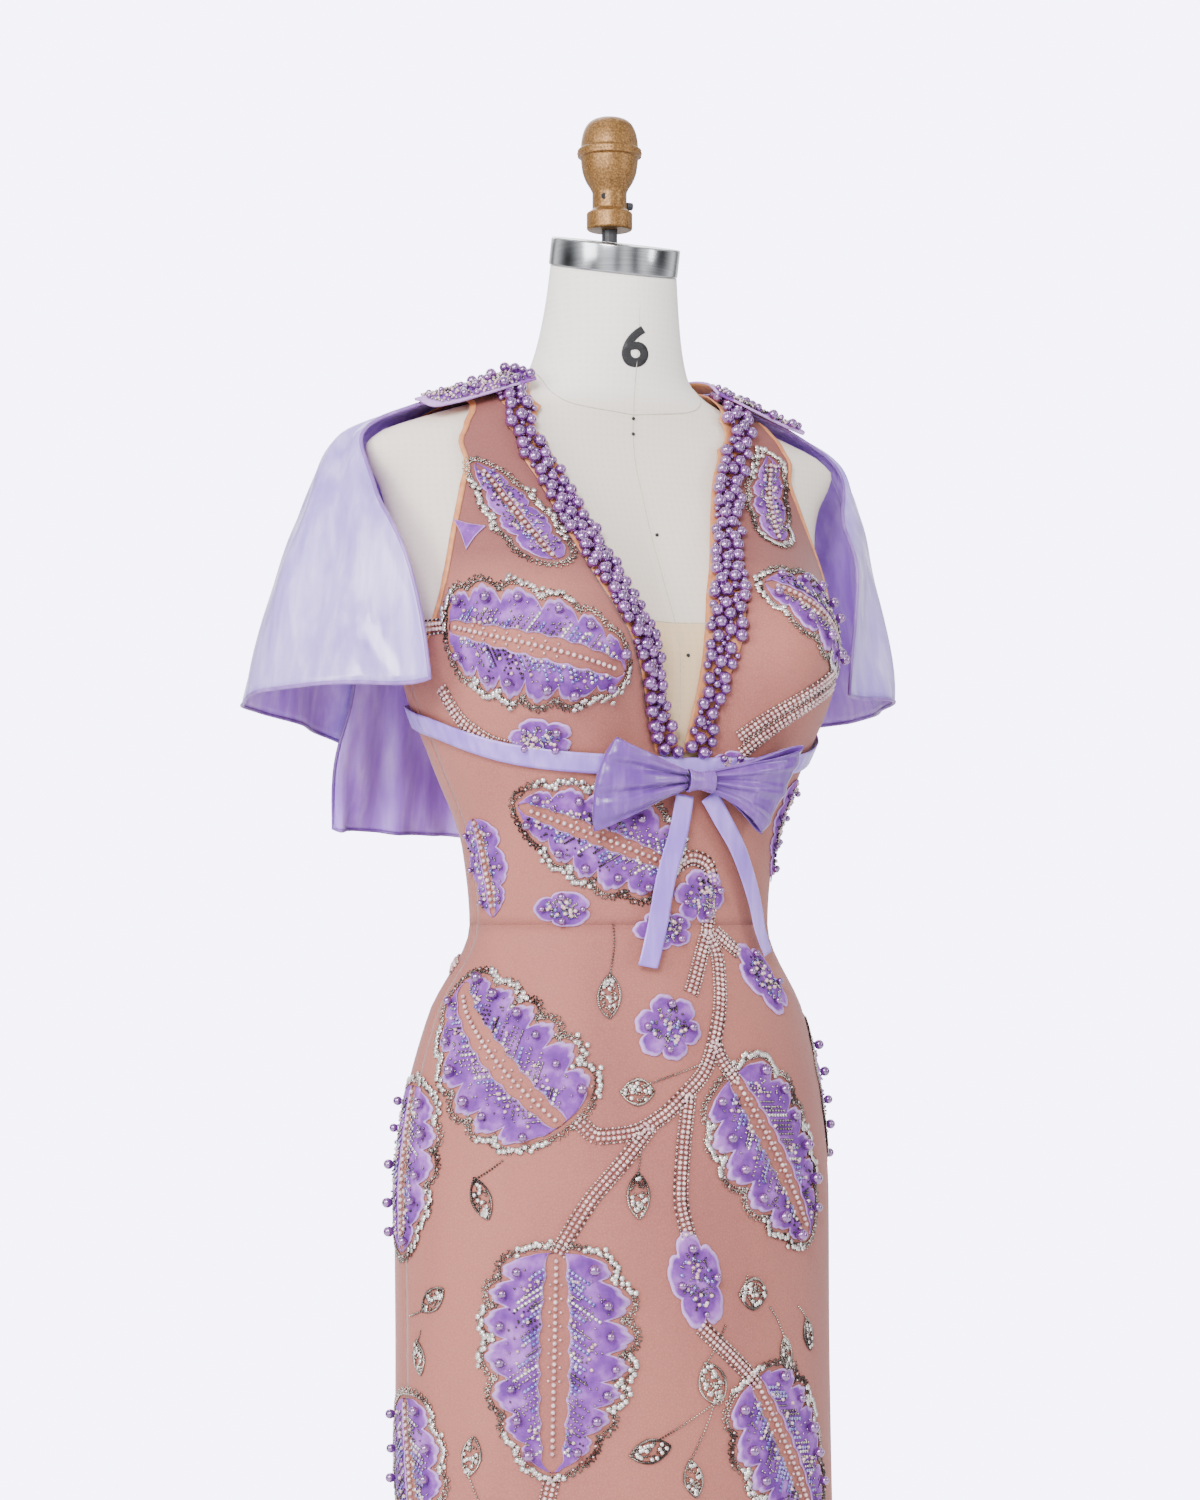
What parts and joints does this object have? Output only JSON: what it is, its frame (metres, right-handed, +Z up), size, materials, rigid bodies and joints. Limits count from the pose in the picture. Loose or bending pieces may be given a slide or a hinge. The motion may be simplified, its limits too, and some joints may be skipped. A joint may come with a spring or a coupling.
{
  "type": "cape evening dress on a limbless dress form",
  "caption": "Full-length evening gown with a V neckline, satin cape and bow, lace of velvet leaves and beads, standing on a limbless dress form on a round base",
  "frame": {"origin": "on the floor under the middle of the stand's pole", "axes": "+Z up, the dress faces -Y, +X is the wearer's left"},
  "size_m": [0.5574, 0.4824, 1.6784],
  "materials": {
    "linen": "close undyed linen cover, matt",
    "cap_steel": "brushed",
    "pole_steel": "satin",
    "dark_iron": "black enamel, slightly worn",
    "bronze": "aged gold paint with brown speckles",
    "beaded_mesh": "dusty pink net with bead vines",
    "velvet": "lavender cut velvet with a short nap",
    "satin": "lavender satin with a soft sheen",
    "pearls": "lilac pearls sewn close together",
    "binding": "peach satin edging"
  },
  "bodies": {
    "root": {"form_body": "linen", "neck_cap": "cap_steel", "finial_screw": "dark_iron", "finial": "bronze", "finial_set_screw": "dark_iron", "stand_base": "dark_iron", "stand_pole": "pole_steel", "stand_hub": "dark_iron", "bodice_front_right": "beaded_mesh", "bodice_front_left": "beaded_mesh", "bodice_back_right": "beaded_mesh", "bodice_back_left": "beaded_mesh", "midriff_front": "beaded_mesh", "midriff_back_right": "beaded_mesh", "midriff_back_left": "beaded_mesh", "skirt_front": "beaded_mesh", "skirt_back_right": "beaded_mesh", "skirt_back_left": "beaded_mesh", "neckline_pearls_right": "pearls", "neckline_pearls_left": "pearls", "armhole_binding_right": "binding", "armhole_binding_left": "binding", "ribbon_front": "satin", "ribbon_back_right": "satin", "ribbon_back_left": "satin", "bow_loop_right": "satin", "bow_loop_left": "satin", "bow_knot": "satin", "bow_tail_right": "satin", "bow_tail_left": "satin", "cape_upper_tier": "satin", "cape_lower_tier": "satin", "collar_right": "pearls", "collar_left": "pearls", "leaf_bust_right": "velvet", "leaf_bust_left": "velvet", "leaf_chest_right": "velvet", "leaf_chest_left": "velvet", "leaf_underbust": "velvet", "leaf_hip_right": "velvet", "leaf_hip_left": "velvet", "leaf_thigh_middle": "velvet", "leaf_thigh_left": "velvet", "leaf_side_right_upper": "velvet", "leaf_side_right_lower": "velvet", "leaf_waist_side_right": "velvet", "leaf_waist_side_left": "velvet", "leaf_hip_side_left": "velvet", "leaf_knee_middle": "velvet", "leaf_knee_right": "velvet", "leaf_hem_left": "velvet", "leaf_back_hip": "velvet", "leaf_back_thigh": "velvet", "leaf_back_knee": "velvet"}
  },
  "joints": []
}
